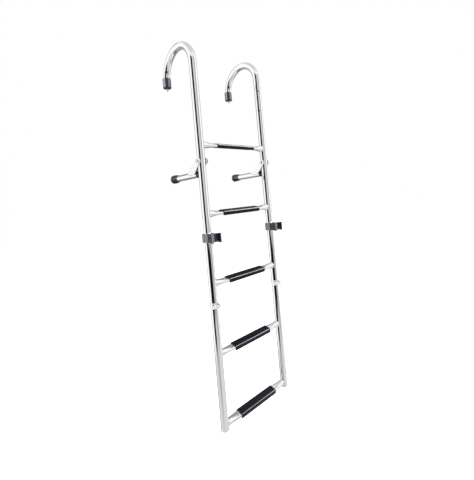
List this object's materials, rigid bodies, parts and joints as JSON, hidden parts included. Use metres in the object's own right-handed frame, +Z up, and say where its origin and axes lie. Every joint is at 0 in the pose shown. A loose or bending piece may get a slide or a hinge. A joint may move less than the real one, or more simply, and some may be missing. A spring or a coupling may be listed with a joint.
{
  "type": "boat ladder",
  "caption": "Folding boat ladder with gunwale hooks, pressed tube steps with ribbed black treads, a fold-up lower section and stand-off arms.",
  "frame": {"origin": "midway between the undersides of the crowns of the two hooks, where the ladder bears on the gunwale", "axes": "+X from the left rail to the right rail as seen by a climber, +Y towards the hull, +Z up along the rails"},
  "size_m": [0.3344, 0.2352, 1.2676],
  "materials": {
    "polished_tube": "mirror-polished stainless tube",
    "polished_fitting": "polished stainless fitting",
    "black_rubber": "smooth black rubber",
    "black_plastic": "moulded black nylon",
    "tread_plastic": "ribbed black tread",
    "button_plastic": "small dark blue button"
  },
  "bodies": {
    "upper_section": {"upper_rail_left": "polished_tube", "hook_cap_left": "black_rubber", "rail_clip_left": "black_plastic", "hinge_upper_left": "polished_fitting", "hinge_pin_left": "polished_fitting", "pivot_bolt_left": "polished_fitting", "upper_rail_right": "polished_tube", "hook_cap_right": "black_rubber", "rail_clip_right": "black_plastic", "hinge_upper_right": "polished_fitting", "hinge_pin_right": "polished_fitting", "pivot_bolt_right": "polished_fitting", "step_tube_1": "polished_tube", "tread_1": "tread_plastic", "step_tube_2": "polished_tube", "tread_2": "tread_plastic", "step_tube_3": "polished_tube", "tread_3": "tread_plastic", "pivot_knob_left": "black_plastic", "pivot_nut_right": "polished_fitting", "rail_buttons_right": "button_plastic"},
    "lower_section": {"lower_rail_left": "polished_tube", "hinge_lower_left": "polished_fitting", "foot_plug_left": "black_plastic", "lower_rail_right": "polished_tube", "hinge_lower_right": "polished_fitting", "foot_plug_right": "black_plastic", "step_tube_4": "polished_tube", "tread_4": "tread_plastic", "step_tube_5": "polished_tube", "tread_5": "tread_plastic"},
    "standoff_left": {"standoff_tube_left": "polished_tube", "standoff_bracket_left": "polished_fitting", "standoff_tip_left": "black_rubber", "standoff_plug_left": "black_plastic"},
    "standoff_right": {"standoff_tube_right": "polished_tube", "standoff_bracket_right": "polished_fitting", "standoff_tip_right": "black_rubber", "standoff_plug_right": "black_plastic"}
  },
  "joints": [
    {"name": "lower_fold", "type": "hinge", "parent": "upper_section", "child": "lower_section", "pos_m": [0, -0.1055, -0.8483], "axis": [-1, 0, 0], "range_deg": [0, 180]},
    {"name": "standoff_swing_left", "type": "hinge", "parent": "upper_section", "child": "standoff_left", "pos_m": [-0.145, -0.086, -0.3893], "axis": [1, 0, 0], "range_deg": [0, 90]},
    {"name": "standoff_swing_right", "type": "hinge", "parent": "upper_section", "child": "standoff_right", "pos_m": [0.145, -0.086, -0.3893], "axis": [1, 0, 0], "range_deg": [0, 90]}
  ]
}
